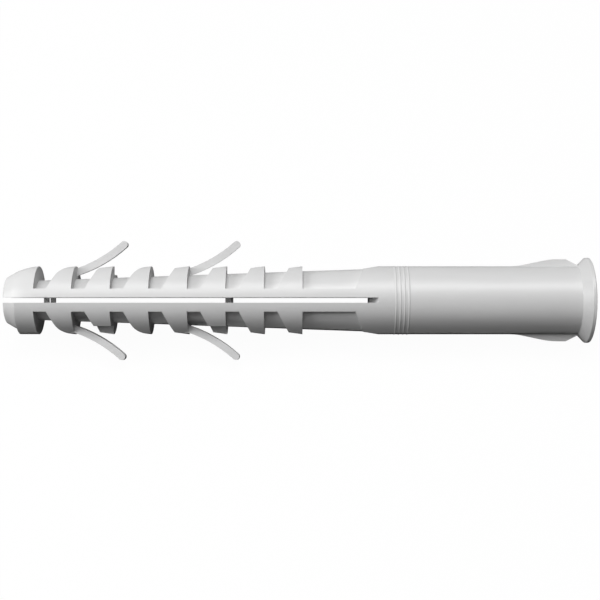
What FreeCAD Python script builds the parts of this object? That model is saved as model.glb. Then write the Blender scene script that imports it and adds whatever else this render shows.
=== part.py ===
"""Frame fixing sleeve: the long moulded nylon plug that takes a frame screw.

The sleeve lies along X with its head on the +X side. Its origin is on the axis, where the screw
seat meets the clear bore. Inside the body every place is measured from the tip, along X, the
slots open up and down, and the tongues and ribs stand out sideways. The finished body is rolled
about its axis as it comes to rest: it rolls on its rim until a tongue meets the table.
"""
import FreeCAD, Part
import os

import Sketcher

# Driving dimensions, in millimetres, degrees or counts: alias, value, meaning.
SIZES = [
    ("shaft_dia", 10.0, "diameter of the plain shaft and of the four rails"),
    ("shaft_length", 29.048, "plain shaft, from the end of the shoulder ramp to the neck"),
    ("head_dia", 12.5, "diameter over the rim"),
    ("head_rim", 0.52, "thickness of the rim at its edge"),
    ("head_cone_angle", 46.0, "slope of the cone under the rim, from the axis"),
    ("head_round", 0.12, "rounding of the two rim edges"),
    ("screw_bore_dia", 7.2, "clear bore for the screw shank"),
    ("screw_bore_depth", 27.6, "depth of the clear bore below the head's face"),
    ("seat_dia", 11.2, "mouth of the countersunk screw seat"),
    ("seat_angle", 45.0, "slope of the screw seat, from the axis"),
    ("grip_bore_dia", 4.4, "narrow bore that the screw thread spreads"),
    ("funnel_angle", 30.0, "slope of the funnel between the two bores, from the axis"),
    ("nose_dia", 6.71, "diameter of the nose where its face and cone would meet"),
    ("nose_angle", 30.0, "slope of the nose cone, from the axis"),
    ("nose_length", 1.44, "length of the nose cone"),
    ("nose_round", 0.35, "rounding between the nose face and its cone"),
    ("swell_radius", 9.3, "radius of the curve from the nose cone to the first tooth edge"),
    ("first_face", 4.69, "steep face of the first tooth, from the tip"),
    ("first_step", 1.97, "front of the full half ring on the first tooth, from the tip"),
    ("second_face", 10.129, "steep face of the second tooth, from the tip"),
    ("tooth_count", 8, "number of saw teeth"),
    ("tooth_pitch", 5.536, "spacing of the teeth from the second on"),
    ("tooth_dia", 9.96, "diameter over the tooth edges"),
    ("tooth_ramp_angle", 8.0, "slope of the tooth crests, from the axis"),
    ("crest_radius", 2.5, "rounding between notch and crest on the rounded teeth"),
    ("rounded_tooth", 2, "first of the two rounded teeth"),
    ("rounded_step", 2, "teeth from one rounded tooth to the next"),
    ("notch_floor", 1.93, "notch floor length beside the rail"),
    ("notch_angle", 62.3, "slope of the notch's far side, from the axis"),
    ("long_notch", 7.6, "last notch floor length beside the rail"),
    ("core_tip_dia", 5.81, "diameter of the core at the first tooth face"),
    ("core_end_dia", 9.06, "diameter of the core at the shoulder"),
    ("shoulder_side_angle", 66.6, "slope of the long notch's far side, from the axis"),
    ("shoulder_angle", 9.4, "slope of the shoulder ramp, from the axis"),
    ("shoulder_length", 3.605, "distance from the long notch floor to the full shaft"),
    ("rail_width", 3.3, "width of the rails that carry the slots"),
    ("slot_width", 0.75, "width of the expansion slot"),
    ("slot_overrun", 2.1, "slot at the bore past the start of the shoulder"),
    ("slot_blind", 1.2, "how much further the slanted end of the slot reaches at the surface"),
    ("bridge_dia", 5.6, "outer diameter of the thin bridges across the slot"),
    ("first_bridge", 1.2, "first bridge behind the first tooth face"),
    ("first_bridge_length", 0.72, "length of the first bridge"),
    ("bridge_tooth", 6, "tooth at whose face the second bridge lies"),
    ("second_bridge", 0.11, "second bridge ahead of its tooth face"),
    ("second_bridge_length", 0.88, "length of the second bridge"),
    ("ring_count", 4, "number of thin raised rings on the shaft"),
    ("ring_pitch", 0.626, "spacing of the thin rings"),
    ("ring_height", 0.05, "height of the thin rings"),
    ("ring_width", 0.32, "width of a thin ring at its foot"),
    ("ring_start", 2.088, "first thin ring past the shoulder ramp"),
    ("rib_length", 9.75, "length of the ribs that stop the head turning, up to the neck"),
    ("rib_height", 1.02, "height of these ribs above the shaft"),
    ("rib_rise", 5.8, "length of the rising part of a rib"),
    ("rib_flat", 2.26, "length of the top of a rib, from where it would meet the rise"),
    ("rib_toe_radius", 9.0, "radius of the hollow toe of a rib"),
    ("rib_rise_angle", 11.83, "slope of the rising part of a rib"),
    ("rib_top_radius", 10.0, "rounding between the rise of a rib and its top"),
    ("rib_end_height", 0.12, "height at which a rib runs into the cone of the head"),
    ("rib_thickness", 1.2, "thickness of a rib"),
    ("tongue_thickness", 0.98, "thickness of a spring tongue at its outer flank"),
    ("tongue_width", 1.48, "width of a spring tongue"),
    ("tongue_draft", 1.9, "moulding draft on the flanks of a tongue"),
    ("tongue_offset", 0.5, "gap from the middle plane to a tongue"),
    ("tongue_root_radius", 4.18, "axis to the middle of the tongue at its root"),
    ("tongue_root_angle", 18.7, "slope of the tongue at its root"),
    ("tongue_tip_angle", 41.8, "slope of the tongue at its tip"),
    ("tongue_curve", 20.0, "radius of the tongue's middle line"),
    ("tongue_root_reach", 0.5, "reach of the hollow under the tongue at its root"),
    ("tongue_root_hollow", 0.55, "radius of this hollow"),
    ("tongue_tooth", 2, "tooth that carries the first pair of tongues"),
    ("tongue_step", 3, "teeth from one pair of tongues to the next"),
    ("recess_floor", 3.75, "axis to the floor of a tongue recess"),
    ("recess_clearance", 0.06, "side clearance of a folded tongue in its recess"),
    ("rest_roll", 38.5, "roll about the axis that brings a tongue down to the table"),
]

LABEL = "plug_sleeve"
EMBED = 0.5     # how far an added feature reaches into the solid that carries it
BEYOND = 1.0    # how far a cutting outline reaches past the surface that it cuts

doc = FreeCAD.newDocument("frame_fixing")
sheet = doc.addObject("Spreadsheet::Sheet", "sizes")
for number, (alias, value, meaning) in enumerate(SIZES, start=1):
    sheet.set("A%d" % number, meaning)
    sheet.set("B%d" % number, str(value))
    sheet.setAlias("B%d" % number, alias)
doc.recompute()

body = doc.addObject("PartDesign::Body", "Sleeve")
body.Label = LABEL


def size(alias):
    """The name of a sheet cell as expressions use it."""
    return "sizes." + alias


def origin_feature(role):
    """One of the body's own origin planes or axes, found by its role."""
    return next(item for item in body.Origin.OriginFeatures if item.Role == role)


def value_of(expression):
    """The present value of an expression, for the first guess of a sketch."""
    return float(sheet.evalExpression(expression))


def tangent(angle):
    return "tan(%s * 1deg)" % angle


def sine(angle):
    return "sin(%s * 1deg)" % angle


def cosine(angle):
    return "cos(%s * 1deg)" % angle


# Places along X, from the tip.
FIRST_FACE = size("first_face")
LAST_FACE = "(sizes.second_face + (sizes.tooth_count - 2) * sizes.tooth_pitch)"
SHOULDER = "(%s + sizes.long_notch)" % LAST_FACE
SHAFT_START = "(%s + sizes.shoulder_length)" % SHOULDER
NECK = "(%s + sizes.shaft_length)" % SHAFT_START
HEAD_CONE = "((sizes.head_dia - sizes.shaft_dia) / 2 / %s)" % tangent(size("head_cone_angle"))
RIM = "(%s + %s)" % (NECK, HEAD_CONE)
HEAD_FACE = "(%s + sizes.head_rim)" % RIM
SEAT_END = "(%s - (sizes.seat_dia - sizes.screw_bore_dia) / 2 / %s)" % (
    HEAD_FACE, tangent(size("seat_angle")))
SLOT_END = "(%s + sizes.slot_overrun)" % SHOULDER

# Radii.
SHAFT = "sizes.shaft_dia / 2"
TOOTH = "sizes.tooth_dia / 2"
RAIL = "sizes.rail_width / 2"
REACH = "(%s + %s)" % (SHAFT, BEYOND)    # outer edge of the cutting outlines


def tooth_face(tooth):
    """The place of the steep face of a tooth after the first, the tooth given as an expression."""
    return "(sizes.second_face + (%s - 2) * sizes.tooth_pitch)" % tooth


def notch_end(face):
    """Where the floor of the notch ahead of a tooth ends beside the rail."""
    return "(%s - sizes.tooth_pitch + sizes.notch_floor)" % face


def new_sketch(name, plane, offset="0"):
    """A sketch on one of the body's planes, moved along its normal by an expression."""
    sketch = body.newObject("Sketcher::SketchObject", name)
    sketch.AttachmentSupport = [(origin_feature(plane), "")]
    sketch.MapMode = "FlatFace"
    if offset != "0":
        sketch.setExpression("AttachmentOffset.Base.z", offset)
    return sketch


def pin(sketch, geometry, point, across, up):
    """Bind a sketch point to two expressions; "0" puts it on the axis."""
    for kind, expression, axis in (("DistanceX", across, -2), ("DistanceY", up, -1)):
        if expression == "0":
            sketch.addConstraint(Sketcher.Constraint("PointOnObject", geometry, point, axis))
            continue
        constraint = sketch.addConstraint(
            Sketcher.Constraint(kind, -1, 1, geometry, point, value_of(expression)))
        sketch.setExpression("Constraints[%d]" % constraint, expression)


def mirrored(corner):
    """A corner of an outline moved to the other side of the axis."""
    flipped = (corner[0], "-1 * (%s)" % corner[1])
    return flipped if len(corner) == 2 else flipped + (corner[2], not corner[3])


def arc_between(start, end, radius, left):
    """The short arc from start to end, its centre on the left or right of the way there."""
    chord = end - start
    middle = (start + end) / 2
    reach = (radius ** 2 - (chord.Length / 2) ** 2) ** 0.5
    side = FreeCAD.Vector(-chord.y, chord.x, 0).normalize()
    centre = middle + side * (reach if left else -reach)
    half_way = centre + (middle - centre).normalize() * radius
    return Part.Arc(start, half_way, end)


def outline(sketch, corners):
    """Add one closed outline. A corner is (x, y), or (x, y, radius, left) where an arc leads to it."""
    spots = [FreeCAD.Vector(value_of(corner[0]), value_of(corner[1]), 0) for corner in corners]
    ends = []
    for number, corner in enumerate(corners):
        start, end = spots[number - 1], spots[number]
        if len(corner) == 2:
            geometry = sketch.addGeometry(Part.LineSegment(start, end), False)
            ends.append((geometry, 1, 2))
            continue
        radius, left = value_of(corner[2]), corner[3]
        geometry = sketch.addGeometry(arc_between(start, end, radius, left), False)
        ends.append((geometry, 1, 2) if left else (geometry, 2, 1))
        constraint = sketch.addConstraint(Sketcher.Constraint("Radius", geometry, radius))
        sketch.setExpression("Constraints[%d]" % constraint, corner[2])
    for number, corner in enumerate(corners):
        geometry, _, finish = ends[number]
        following, start, _ = ends[(number + 1) % len(corners)]
        sketch.addConstraint(Sketcher.Constraint("Coincident", geometry, finish, following, start))
        pin(sketch, geometry, finish, corner[0], corner[1])


def turned(kind, name, sketch, angle="360"):
    """A Revolution or Groove of a sketch about the sleeve's axis."""
    feature = body.newObject("PartDesign::" + kind, name)
    feature.Profile = sketch
    feature.ReferenceAxis = (sketch, ["H_Axis"])
    feature.Angle = float(angle)
    return feature


def padded(name, sketch, length, both_ways=False):
    """A Pad of a sketch along its normal."""
    feature = body.newObject("PartDesign::Pad", name)
    feature.Profile = sketch
    feature.SideType = "Symmetric" if both_ways else "One side"
    feature.setExpression("Length", length)
    return feature


def cut_through(name, sketch, both_ways):
    """A Pocket through everything, both ways from its sketch or only along its normal."""
    feature = body.newObject("PartDesign::Pocket", name)
    feature.Profile = sketch
    feature.SideType = "Symmetric" if both_ways else "One side"
    feature.Type = "ThroughAll"
    feature.Reversed = not both_ways
    return feature


def cut_slab(name, sketch, width):
    """A Pocket of a given width, half on each side of its sketch."""
    feature = body.newObject("PartDesign::Pocket", name)
    feature.Profile = sketch
    feature.SideType = "Symmetric"
    feature.setExpression("Length", width)
    return feature


def row_step(pattern, spacing, count):
    """Set a linear pattern along the sleeve."""
    pattern.Direction = (origin_feature("X_Axis"), [""])
    pattern.Mode = "Spacing"
    pattern.setExpression("Offset", spacing)
    pattern.setExpression("Occurrences", count)


def in_a_row(name, feature, spacing, count):
    """Repeat a feature along the sleeve."""
    pattern = body.newObject("PartDesign::LinearPattern", name)
    pattern.Originals = [feature]
    row_step(pattern, spacing, count)
    body.Tip = pattern
    return pattern


def half_turn(pattern):
    """Set a polar pattern of two about the sleeve's axis."""
    pattern.Axis = (origin_feature("X_Axis"), [""])
    pattern.Mode = "Extent"
    pattern.Angle = 360.0
    pattern.Occurrences = 2


def on_both_sides(name, feature):
    """Repeat a feature half a turn round the sleeve."""
    pattern = body.newObject("PartDesign::PolarPattern", name)
    pattern.Originals = [feature]
    half_turn(pattern)
    body.Tip = pattern
    return pattern


def at_both_tongue_teeth(name, feature):
    """Repeat a feature at the other tongue tooth, and each of the two half a turn round."""
    pattern = body.newObject("PartDesign::MultiTransform", name)
    pattern.Originals = [feature]
    row = body.newObject("PartDesign::LinearPattern", name + "_row")
    turn = body.newObject("PartDesign::PolarPattern", name + "_turn")
    row_step(row, "sizes.tongue_step * sizes.tooth_pitch", "2")
    half_turn(turn)
    pattern.Transformations = [row, turn]
    body.Tip = pattern
    return pattern


def make_blank():
    """The turned outline: nose, tooth zone, shoulder ramp, shaft, and head with its rounded rim."""
    slope = size("nose_angle")
    corner = "sizes.nose_round * " + tangent("sizes.nose_angle")
    nose_end = "sizes.nose_dia / 2 + sizes.nose_length * " + tangent(slope)
    turn = "sizes.head_cone_angle"
    bend = "sizes.head_round * " + tangent("(90 - %s) / 2" % turn)
    sketch = new_sketch("blank_outline", "XY_Plane")
    outline(sketch, [
        ("0", "0"),
        ("0", "sizes.nose_dia / 2 - " + corner),
        ("%s * %s" % (corner, cosine(slope)), "sizes.nose_dia / 2 + %s * %s" % (corner, sine(slope)),
         "sizes.nose_round", False),
        (size("nose_length"), nose_end),
        (FIRST_FACE, SHAFT, "sizes.swell_radius", False),
        (NECK, SHAFT),
        ("%s - %s * %s" % (RIM, bend, cosine(turn)),
         "sizes.head_dia / 2 - %s * %s" % (bend, sine(turn))),
        ("%s + %s" % (RIM, bend), "sizes.head_dia / 2", "sizes.head_round", False),
        ("%s - sizes.head_round" % HEAD_FACE, "sizes.head_dia / 2"),
        (HEAD_FACE, "sizes.head_dia / 2 - sizes.head_round", "sizes.head_round", False),
        (HEAD_FACE, "0"),
    ])
    return turned("Revolution", "blank", sketch)


def both_sides(sketch, corners):
    """Add a closed outline and its mirror image on the other side of the axis."""
    outline(sketch, corners)
    outline(sketch, [mirrored(corner) for corner in corners])


def crest_cut(name, tooth):
    """Cut one tooth down to a crest that rises to its steep face."""
    face = tooth_face(tooth)
    start = notch_end(face)
    slope = tangent("sizes.tooth_ramp_angle")
    past = "%s + %s" % (face, EMBED)
    sketch = new_sketch(name + "_outline", "XY_Plane")
    both_sides(sketch, [
        (past, "%s + %s * %s" % (TOOTH, EMBED, slope)),
        (start, "%s - (%s - %s) * %s" % (TOOTH, face, start, slope)),
        (start, REACH),
        (past, REACH),
    ])
    return cut_through(name, sketch, True)


def make_crests():
    """The plain crests: of the tooth between the two rounded teeth, and of all behind them."""
    crest_cut("middle_crest", "sizes.rounded_tooth + 1")
    crest = crest_cut("crest", "sizes.rounded_tooth + sizes.rounded_step + 1")
    in_a_row("crests", crest, "sizes.tooth_pitch",
             "sizes.tooth_count - sizes.rounded_tooth - sizes.rounded_step")


def notch(name, face, end):
    """Notches beside the rails: square to the axis at the tooth face, slanting at the far side."""
    run = "(%s - %s) / %s" % (REACH, RAIL, tangent("sizes.notch_angle"))
    sketch = new_sketch(name + "_outline", "XY_Plane")
    both_sides(sketch, [(face, RAIL), (end, RAIL), ("%s + %s" % (end, run), REACH), (face, REACH)])
    return cut_through(name, sketch, True)


def make_notches():
    """Cut the notches between the teeth on both sides; the first is a little shorter."""
    notch("first_notch", FIRST_FACE, notch_end(tooth_face("2")))
    short = notch("notch", tooth_face("2"), notch_end(tooth_face("3")))
    in_a_row("notches", short, "sizes.tooth_pitch", "sizes.tooth_count - 2")


def slant_to(face, start, height, steep, flat):
    """Lengths along the notch side and along the crest, up to where the two would meet."""
    across, up = "(%s - %s)" % (face, start), "(%s - %s)" % (height, RAIL)
    bend = sine("(%s - %s)" % (steep, flat))
    side = "((%s * %s - %s * %s) / %s)" % (up, cosine(flat), across, sine(flat), bend)
    crest = "((%s * %s - %s * %s) / %s)" % (across, sine(steep), up, cosine(steep), bend)
    return side, crest


def make_long_notch():
    """Cut the long notch and the shoulder ramp that rises from it to the shaft, on both sides."""
    steep = size("shoulder_side_angle")
    side, _ = slant_to(SHAFT_START, SHOULDER, SHAFT, steep, size("shoulder_angle"))
    sketch = new_sketch("long_notch_outline", "XY_Plane")
    both_sides(sketch, [
        (LAST_FACE, RAIL),
        (SHOULDER, RAIL),
        ("%s + %s * %s" % (SHOULDER, side, cosine(steep)), "%s + %s * %s" % (RAIL, side, sine(steep))),
        (SHAFT_START, SHAFT),
        (SHAFT_START, REACH),
        (LAST_FACE, REACH),
    ])
    cut_through("long_notch", sketch, True)


def make_rounded_teeth():
    """Two teeth whose notch side bends smoothly into the crest."""
    face = tooth_face(size("rounded_tooth"))
    start = notch_end(face)
    steep, flat = size("notch_angle"), size("tooth_ramp_angle")
    short = "sizes.crest_radius * %s" % tangent("(%s - %s) / 2" % (steep, flat))
    side, crest = ("(%s - %s)" % (length, short) for length in slant_to(face, start, TOOTH, steep, flat))
    sketch = new_sketch("rounded_crest_outline", "XY_Plane")
    both_sides(sketch, [
        (start, RAIL),
        ("%s + %s * %s" % (start, side, cosine(steep)), "%s + %s * %s" % (RAIL, side, sine(steep))),
        ("%s - %s * %s" % (face, crest, cosine(flat)), "%s - %s * %s" % (TOOTH, crest, sine(flat)),
         "sizes.crest_radius", False),
        ("%s + %s * %s" % (face, EMBED, cosine(flat)), "%s + %s * %s" % (TOOTH, EMBED, sine(flat))),
        ("%s + %s * %s" % (face, EMBED, cosine(flat)), REACH),
        (start, REACH),
    ])
    rounded = cut_through("rounded_crest", sketch, True)
    in_a_row("rounded_crests", rounded, "sizes.rounded_step * sizes.tooth_pitch", "2")


def make_core():
    """The tapered core that shows as the floor of every notch."""
    slope = "(sizes.core_end_dia - sizes.core_tip_dia) / 2 / (%s - %s)" % (SHOULDER, FIRST_FACE)
    start = "(%s - %s)" % (FIRST_FACE, EMBED)
    end = SHAFT_START
    sketch = new_sketch("core_outline", "XY_Plane")
    outline(sketch, [
        (start, "0"),
        (start, "sizes.core_tip_dia / 2 - %s * %s" % (EMBED, slope)),
        (end, "sizes.core_end_dia / 2 + (%s - %s) * %s" % (end, SHOULDER, slope)),
        (end, "0"),
    ])
    turned("Revolution", "core", sketch)


def make_first_half_ring():
    """On one side of the slot the first tooth is a full half ring with a square front."""
    middle = "sizes.slot_width / 2"
    sketch = new_sketch("half_ring_section", "YZ_Plane", size("first_step"))
    corner = "sqrt((%s) ^ 2 - (%s) ^ 2)" % (TOOTH, middle)
    outline(sketch, [
        ("-1 * %s" % middle, corner),
        ("-1 * %s" % TOOTH, "0", TOOTH, True),
        ("-1 * %s" % middle, "-1 * %s" % corner, TOOTH, True),
    ])
    padded("first_half_ring", sketch, "%s - sizes.first_step" % FIRST_FACE)


def make_tongue_recesses():
    """Flats on the tooth ahead of each tongue, into which the tongue folds."""
    face = tooth_face("sizes.tongue_tooth + 1")
    start = "%s - sizes.tooth_pitch + sizes.notch_floor / 2" % face
    sketch = new_sketch("recess_outline", "XY_Plane", "sizes.tongue_offset - sizes.recess_clearance")
    outline(sketch, [
        (start, "-1 * sizes.recess_floor"),
        (face, "-1 * sizes.recess_floor"),
        (face, "-1 * %s" % REACH),
        (start, "-1 * %s" % REACH),
    ])
    at_both_tongue_teeth("tongue_recesses", cut_through("tongue_recess", sketch, False))


def make_tongues():
    """Spring tongues that curve out and back from the steep faces of two teeth."""
    face = tooth_face(size("tongue_tooth"))
    half = "sizes.tongue_thickness / 2"
    root, tip = size("tongue_root_angle"), size("tongue_tip_angle")
    centre_x = "(%s - sizes.tongue_curve * %s)" % (face, sine(root))
    centre_y = "(sizes.tongue_root_radius + sizes.tongue_curve * %s)" % cosine(root)
    outer, inner = "(sizes.tongue_curve - %s)" % half, "(sizes.tongue_curve + %s)" % half
    landing = "(%s + sizes.tongue_root_reach)" % face
    rise = "sqrt(%s ^ 2 - (%s - %s) ^ 2)"

    def on_curve(radius, angle):
        return ("%s + %s * %s" % (centre_x, radius, sine(angle)),
                "%s - %s * %s" % (centre_y, radius, cosine(angle)))

    def height_at(radius, place):
        return "%s - %s" % (centre_y, rise % (radius, place, centre_x))

    foot = "%s - sizes.tongue_root_reach" % height_at(inner, face)
    end_x, end_y = on_curve("sizes.tongue_curve", tip)
    corners = [
        ("%s - %s" % (face, EMBED), foot),
        (face, foot),
        (landing, height_at(inner, landing), "sizes.tongue_root_hollow", False),
        on_curve(inner, tip) + (inner, True),
        ("%s + %s * %s" % (end_x, half, cosine(tip)), "%s + %s * %s" % (end_y, half, sine(tip)),
         half, True),
        on_curve(outer, tip) + (half, True),
        (face, height_at(outer, face), outer, False),
        ("%s - %s" % (face, EMBED), height_at(outer, face)),
    ]
    sketch = new_sketch("tongue_outline", "XY_Plane", "sizes.tongue_offset + sizes.tongue_width")
    outline(sketch, [mirrored(corner) for corner in corners])
    tongue = padded("tongue", sketch, size("tongue_width"))
    tongue.Reversed = True
    tongue.setExpression("TaperAngle", "1deg * sizes.tongue_draft")
    at_both_tongue_teeth("tongues", tongue)


def make_thin_rings():
    """The thin raised rings on the shaft behind the shoulder."""
    start = "(%s + sizes.ring_start)" % SHAFT_START
    sketch = new_sketch("thin_ring_outline", "XY_Plane")
    outline(sketch, [
        (start, "%s - %s" % (SHAFT, EMBED)),
        (start, SHAFT),
        ("%s + sizes.ring_width / 2" % start, "%s + sizes.ring_height" % SHAFT),
        ("%s + sizes.ring_width" % start, SHAFT),
        ("%s + sizes.ring_width" % start, "%s - %s" % (SHAFT, EMBED)),
    ])
    ring = turned("Revolution", "thin_ring", sketch)
    in_a_row("thin_rings", ring, "sizes.ring_pitch", "sizes.ring_count")


def make_ribs():
    """Two thin ribs under the head that bite into the wood and stop the sleeve turning."""
    start = "(%s - sizes.rib_length)" % NECK
    angle = "sizes.rib_rise_angle"
    top = "(%s + sizes.rib_height)" % SHAFT
    bend = "(%s + sizes.rib_rise)" % start
    short = "sizes.rib_top_radius * %s" % tangent("%s / 2" % angle)
    top_end = "(%s + sizes.rib_flat)" % bend
    run_in = "(%s + sizes.rib_end_height / %s)" % (NECK, tangent("sizes.head_cone_angle"))
    fall = "(sizes.rib_height - sizes.rib_end_height) / (%s - %s)" % (run_in, top_end)
    sketch = new_sketch("rib_outline", "XY_Plane")
    outline(sketch, [
        (start, "%s - %s" % (SHAFT, EMBED)),
        (start, SHAFT),
        ("%s + sizes.rib_toe_radius * %s" % (start, sine(angle)),
         "%s + sizes.rib_toe_radius * (1 - %s)" % (SHAFT, cosine(angle)), "sizes.rib_toe_radius", True),
        ("%s - %s * %s" % (bend, short, cosine(angle)), "%s - %s * %s" % (top, short, sine(angle))),
        ("%s + %s" % (bend, short), top, "sizes.rib_top_radius", False),
        (top_end, top),
        ("%s + %s" % (run_in, EMBED), "%s + sizes.rib_end_height - %s * %s" % (SHAFT, EMBED, fall)),
        ("%s + %s" % (run_in, EMBED), "%s - %s" % (SHAFT, EMBED)),
    ])
    on_both_sides("ribs", padded("rib", sketch, size("rib_thickness"), True))


def make_slot():
    """The expansion slot, open at the tip, its end slanting outwards from the bore."""
    bore = "sizes.grip_bore_dia / 2"
    lean = "sizes.slot_blind / (%s - %s)" % (SHAFT, bore)
    far_end = "%s + %s * (%s - %s)" % (SLOT_END, lean, REACH, bore)
    sketch = new_sketch("slot_outline", "XZ_Plane")
    outline(sketch, [
        ("-1 * %s" % BEYOND, "-1 * %s" % REACH),
        (far_end, "-1 * %s" % REACH),
        (SLOT_END, "-1 * %s" % bore),
        (SLOT_END, bore),
        (far_end, REACH),
        ("-1 * %s" % BEYOND, REACH),
    ])
    cut_slab("slot", sketch, size("slot_width"))


def make_bridges():
    """Two thin rings of wall that the slot leaves across it."""
    second = "(%s - sizes.second_bridge)" % tooth_face(size("bridge_tooth"))
    first = "(%s + sizes.first_bridge)" % FIRST_FACE
    radius = "sizes.bridge_dia / 2"
    sketch = new_sketch("bridge_outline", "XY_Plane")
    for start, length in ((first, "sizes.first_bridge_length"), (second, "sizes.second_bridge_length")):
        end = "%s + %s" % (start, length)
        outline(sketch, [(start, "0"), (start, radius), (end, radius), (end, "0")])
    turned("Revolution", "bridges", sketch)


def make_bore():
    """Screw seat, clear bore, funnel and narrow bore, from the head to the tip."""
    lip = "%s * %s" % (BEYOND, tangent("sizes.seat_angle"))
    funnel = "(sizes.screw_bore_dia - sizes.grip_bore_dia) / 2 / " + tangent("sizes.funnel_angle")
    bottom = "%s - sizes.screw_bore_depth" % HEAD_FACE
    sketch = new_sketch("bore_outline", "XY_Plane")
    outline(sketch, [
        ("-1 * %s" % BEYOND, "0"),
        ("-1 * %s" % BEYOND, "sizes.grip_bore_dia / 2"),
        ("%s - %s" % (bottom, funnel), "sizes.grip_bore_dia / 2"),
        (bottom, "sizes.screw_bore_dia / 2"),
        (SEAT_END, "sizes.screw_bore_dia / 2"),
        ("%s + %s" % (HEAD_FACE, BEYOND), "sizes.seat_dia / 2 + " + lip),
        ("%s + %s" % (HEAD_FACE, BEYOND), "0"),
    ])
    turned("Groove", "bore", sketch)


def check_document():
    """Stop if any object failed or the sleeve is not one valid solid."""
    for item in doc.Objects:
        if "Invalid" in item.State or "Error" in item.State:
            raise RuntimeError("%s failed: %s" % (item.Name, item.getStatusString()))
    if body.Shape.isNull() or not body.Shape.isValid() or len(body.Shape.Solids) != 1:
        raise RuntimeError("the sleeve is not one valid solid")


make_blank()
make_notches()
make_long_notch()
make_crests()
make_rounded_teeth()
make_core()
make_first_half_ring()
make_tongue_recesses()
make_tongues()
make_thin_rings()
make_ribs()
make_slot()
make_bridges()
make_bore()
body.Placement = FreeCAD.Placement(FreeCAD.Vector(), FreeCAD.Rotation(FreeCAD.Vector(1, 0, 0), 1))
body.setExpression("Placement.Rotation.Angle", "sizes.rest_roll * 1deg")
body.setExpression("Placement.Base.x", "-1 * %s" % SEAT_END)
doc.recompute()
check_document()

os.makedirs("parts", exist_ok=True)
body.Shape.exportStep("parts/%s.step" % LABEL)
bounds = body.Shape.BoundBox
print(LABEL, "length", round(bounds.XLength, 3), "width", round(bounds.YLength, 3),
      "height", round(bounds.ZLength, 3), "volume", round(body.Shape.Volume, 2))
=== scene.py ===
import math

import bpy
from mathutils import Matrix, Vector


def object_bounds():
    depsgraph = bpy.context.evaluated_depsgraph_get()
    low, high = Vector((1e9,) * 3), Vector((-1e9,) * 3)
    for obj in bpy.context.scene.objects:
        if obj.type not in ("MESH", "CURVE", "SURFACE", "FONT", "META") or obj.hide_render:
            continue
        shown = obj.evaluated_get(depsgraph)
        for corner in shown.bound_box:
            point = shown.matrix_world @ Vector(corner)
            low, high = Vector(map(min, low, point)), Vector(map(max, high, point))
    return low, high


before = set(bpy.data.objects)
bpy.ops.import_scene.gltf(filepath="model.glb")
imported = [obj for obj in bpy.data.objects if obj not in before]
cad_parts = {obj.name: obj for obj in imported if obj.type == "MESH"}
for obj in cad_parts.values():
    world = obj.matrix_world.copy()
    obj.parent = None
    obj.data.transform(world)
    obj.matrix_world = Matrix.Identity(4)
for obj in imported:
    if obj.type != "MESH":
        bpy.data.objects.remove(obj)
cad_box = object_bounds()

MM = 0.001
NODE = "plug_sleeve"
WHITE = (1.0, 1.0, 1.0, 1.0)

# How the sleeve lies: it is rolled about its axis until a tongue meets the table.
REST_ROLL = math.radians(38.5)
TO_WORLD = Matrix.Rotation(REST_ROLL, 3, "X")

# The camera looks almost square onto the slot, a third of a degree from below in the picture.
VIEW_DISTANCE = 191.2 * MM
VIEW_CENTRE_X = -40.34 * MM
VIEW_DROP = math.radians(0.35)
VIEW_RISE = 0.044 * MM
FIELD_OF_VIEW = math.radians(25.98)
SENSOR_WIDTH = 36.0
CLIP_START = 0.01

# The table: what stray light gets back from it, what shade the camera sees on it, and how much
# of what the camera sees is plain white instead of that shade.
FLOOR_Z = cad_box[0][2]
FLOOR_SIZE = 6.0
FLOOR_BOUNCE = (0.05, 0.05, 0.05, 1.0)
FLOOR_SHADE = (0.8, 0.8, 0.8, 1.0)
FLOOR_GLOW = 0.97

# The surround: what is seen directly, and the dim light that it sheds on everything.
WORLD_SEEN = 1.0
WORLD_LIGHT = 0.01

# The nylon's colour, with faint clouds stretched along the sleeve.
NYLON_GREY = 0.60
CLOUD_TONES = (0.985, 1.015)
CLOUD_RANGE = (0.3, 0.7)
CLOUD_STRETCH = (0.25, 1.0, 1.0)
CLOUD_SCALE = 420.0
CLOUD_DETAIL = 3.0

# Its surface: roughness that follows the clouds, and a fine moulded grain.
ROUGHNESS = (0.37, 0.4)
GRAIN_SCALE = 6000.0
GRAIN_DETAIL = 2.0
GRAIN_STRENGTH = 0.12
GRAIN_HEIGHT = 0.02 * MM
NYLON_IOR = 1.53

# Its gloss falls from FACING_GLOSS to nothing between these two values of Layer Weight's facing.
FACING_BLEND = 0.5
GLOSS_FADE = (0.3, 0.75)
FACING_GLOSS = 0.52
GRAZING_GLOSS = 0.0

# The light that enters it and comes out again nearby.
SCATTER_WEIGHT = 0.12
SCATTER_RADIUS = (1.0, 1.0, 1.0)
SCATTER_DEPTH = 0.35 * MM

# Softboxes: name, degrees about the axis from the camera, degrees of lean towards the head,
# distance in metres, size in metres and power in watts.
SOFTBOXES = (
    ("key_softbox", 48.0, 4.0, 0.8, (0.65, 0.28), 4.2),
    ("tip_softbox", 28.0, -60.0, 0.4, (0.2, 0.2), 0.95),
    ("fill_softbox", 27.0, -14.0, 0.8, (0.4, 0.3), 1.9),
)


def turned(local):
    """A direction or place given for the sleeve with its slot up, as it lies in the frame."""
    return TO_WORLD @ Vector(local)


def grey_of(share):
    """The nylon's grey times a share, as an opaque colour."""
    return (NYLON_GREY * share,) * 3 + (1.0,)


def node_of(tree, kind, inputs=None, **settings):
    """A shader node with the given settings and the given constants on its inputs."""
    node = tree.nodes.new(kind)
    for name, value in settings.items():
        setattr(node, name, value)
    for name, value in (inputs or {}).items():
        node.inputs[name].default_value = value
    return node


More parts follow.
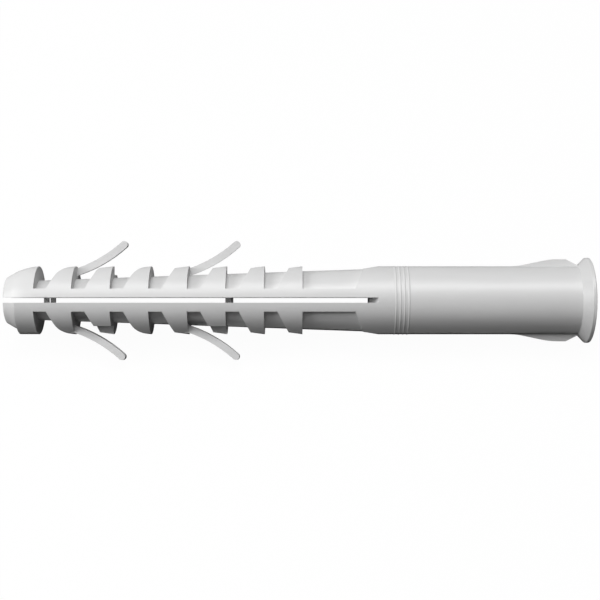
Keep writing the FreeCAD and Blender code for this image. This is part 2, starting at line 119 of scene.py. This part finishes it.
def mix_of(tree, factor, first, second):
    """A mix of two shaders: the first where the factor is 0, the second where it is 1."""
    mix = node_of(tree, "ShaderNodeMixShader")
    tree.links.new(factor, mix.inputs["Fac"])
    tree.links.new(first, mix.inputs[1])
    tree.links.new(second, mix.inputs[2])
    return mix.outputs["Shader"]


def new_material(name):
    """An empty node material with its tree and its output node."""
    material = bpy.data.materials.new(name)
    material.use_nodes = True
    material.node_tree.nodes.clear()
    output = node_of(material.node_tree, "ShaderNodeOutputMaterial")
    return material, material.node_tree, output


def nylon():
    """Light grey moulded nylon: satin, faintly clouded, with a very fine moulded grain."""
    material, tree, output = new_material("nylon_grey")
    link = tree.links.new
    place = node_of(tree, "ShaderNodeTexCoord")
    stretch = node_of(tree, "ShaderNodeMapping", {"Scale": CLOUD_STRETCH})
    link(place.outputs["Object"], stretch.inputs["Vector"])

    cloud = node_of(tree, "ShaderNodeTexNoise", {"Scale": CLOUD_SCALE, "Detail": CLOUD_DETAIL})
    link(stretch.outputs["Vector"], cloud.inputs["Vector"])
    tone = node_of(tree, "ShaderNodeValToRGB")
    for element, position, share in zip(tone.color_ramp.elements, CLOUD_RANGE, CLOUD_TONES):
        element.position = position
        element.color = grey_of(share)
    link(cloud.outputs["Fac"], tone.inputs["Fac"])
    gloss = node_of(tree, "ShaderNodeMapRange", {"To Min": ROUGHNESS[0], "To Max": ROUGHNESS[1]})
    link(cloud.outputs["Fac"], gloss.inputs["Value"])

    grain = node_of(tree, "ShaderNodeTexNoise", {"Scale": GRAIN_SCALE, "Detail": GRAIN_DETAIL})
    link(place.outputs["Object"], grain.inputs["Vector"])
    bump = node_of(tree, "ShaderNodeBump", {"Strength": GRAIN_STRENGTH, "Distance": GRAIN_HEIGHT})
    link(grain.outputs["Fac"], bump.inputs["Height"])

    # The surround is white to glossy rays too, and would whiten every face seen at a slant.
    facing = node_of(tree, "ShaderNodeLayerWeight", {"Blend": FACING_BLEND})
    fade = node_of(tree, "ShaderNodeMapRange", {
        "From Min": GLOSS_FADE[0], "From Max": GLOSS_FADE[1],
        "To Min": FACING_GLOSS, "To Max": GRAZING_GLOSS,
    })
    link(facing.outputs["Facing"], fade.inputs["Value"])

    skin = node_of(tree, "ShaderNodeBsdfPrincipled", {
        "IOR": NYLON_IOR,
        "Subsurface Weight": SCATTER_WEIGHT,
        "Subsurface Radius": SCATTER_RADIUS,
        "Subsurface Scale": SCATTER_DEPTH,
    })
    link(fade.outputs["Result"], skin.inputs["Specular IOR Level"])
    link(tone.outputs["Color"], skin.inputs["Base Color"])
    link(gloss.outputs["Result"], skin.inputs["Roughness"])
    link(bump.outputs["Normal"], skin.inputs["Normal"])
    link(skin.outputs["BSDF"], output.inputs["Surface"])
    return material


def seen_directly(tree):
    """1 for a ray from the camera, off a glossy face or through a clear one, 0 for stray light."""
    ray = node_of(tree, "ShaderNodeLightPath")
    mirrored = node_of(tree, "ShaderNodeMath", operation="MAXIMUM")
    tree.links.new(ray.outputs["Is Camera Ray"], mirrored.inputs[0])
    tree.links.new(ray.outputs["Is Glossy Ray"], mirrored.inputs[1])
    either = node_of(tree, "ShaderNodeMath", operation="MAXIMUM")
    tree.links.new(mirrored.outputs["Value"], either.inputs[0])
    tree.links.new(ray.outputs["Is Transmission Ray"], either.inputs[1])
    return either.outputs["Value"]


def floor_material():
    """A white table. The camera sees it near white, with the sleeve's soft shadow kept."""
    material, tree, output = new_material("table_white")
    bounce = node_of(tree, "ShaderNodeBsdfDiffuse", {"Color": FLOOR_BOUNCE})
    shade = node_of(tree, "ShaderNodeBsdfDiffuse", {"Color": FLOOR_SHADE})
    glow = node_of(tree, "ShaderNodeEmission", {"Color": WHITE})
    seen = node_of(tree, "ShaderNodeMixShader", {"Fac": FLOOR_GLOW})
    tree.links.new(shade.outputs["BSDF"], seen.inputs[1])
    tree.links.new(glow.outputs["Emission"], seen.inputs[2])
    surface = mix_of(tree, seen_directly(tree), bounce.outputs["BSDF"], seen.outputs["Shader"])
    tree.links.new(surface, output.inputs["Surface"])
    return material


def make_floor():
    """The table top, at the lowest point of the sleeve."""
    half = FLOOR_SIZE / 2
    corners = [(x, y, FLOOR_Z) for x, y in ((-half, -half), (half, -half), (half, half), (-half, half))]
    mesh = bpy.data.meshes.new("table_top")
    mesh.from_pydata(corners, [], [(0, 1, 2, 3)])
    floor = bpy.data.objects.new("table_top", mesh)
    bpy.context.scene.collection.objects.link(floor)
    mesh.materials.append(floor_material())


def make_world():
    """A surround that is white where it is seen and sheds only a dim even light."""
    world = bpy.data.worlds.new("surround")
    bpy.context.scene.world = world
    world.use_nodes = True
    tree = world.node_tree
    tree.nodes.clear()
    output = node_of(tree, "ShaderNodeOutputWorld")
    seen = node_of(tree, "ShaderNodeBackground", {"Color": WHITE, "Strength": WORLD_SEEN})
    light = node_of(tree, "ShaderNodeBackground", {"Color": WHITE, "Strength": WORLD_LIGHT})
    surface = mix_of(tree, seen_directly(tree), light.outputs["Background"],
                     seen.outputs["Background"])
    tree.links.new(surface, output.inputs["Surface"])


def look_at(thing, place, target, up):
    """Put a camera or lamp at a place, facing a target, with its own Y towards up."""
    back = (place - target).normalized()
    right = up.cross(back).normalized()
    above = back.cross(right)
    turn = Matrix((right, above, back)).transposed().to_4x4()
    thing.matrix_world = Matrix.Translation(place) @ turn


def make_lamp(name, around, along, distance, size, power):
    """A softbox that faces the middle of the view. SOFTBOXES says what the values are."""
    lamp = bpy.data.lights.new(name, "AREA")
    lamp.shape = "RECTANGLE"
    lamp.size, lamp.size_y = size
    lamp.energy = power
    thing = bpy.data.objects.new(name, lamp)
    bpy.context.scene.collection.objects.link(thing)
    target = Vector((VIEW_CENTRE_X, 0.0, 0.0))
    across = math.cos(math.radians(along))
    direction = turned((math.sin(math.radians(along)),
                        across * math.sin(math.radians(around)),
                        across * math.cos(math.radians(around))))
    look_at(thing, target + direction * distance, target, Vector((0.0, 1.0, 0.0)))


def make_camera():
    """The camera at the photograph's viewing angle."""
    camera = bpy.data.cameras.new("camera")
    camera.sensor_width = SENSOR_WIDTH
    camera.angle = FIELD_OF_VIEW
    camera.clip_start = CLIP_START
    thing = bpy.data.objects.new("camera", camera)
    bpy.context.scene.collection.objects.link(thing)
    target = turned((VIEW_CENTRE_X, VIEW_RISE, 0.0))
    direction = turned((0.0, -math.sin(VIEW_DROP), math.cos(VIEW_DROP)))
    look_at(thing, target + direction * VIEW_DISTANCE, target, turned((0.0, 1.0, 0.0)))
    bpy.context.scene.camera = thing


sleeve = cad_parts[NODE]
sleeve.data.materials.clear()
sleeve.data.materials.append(nylon())
make_floor()
make_world()
for softbox in SOFTBOXES:
    make_lamp(*softbox)
make_camera()
bpy.context.scene.view_settings.view_transform = "Standard"
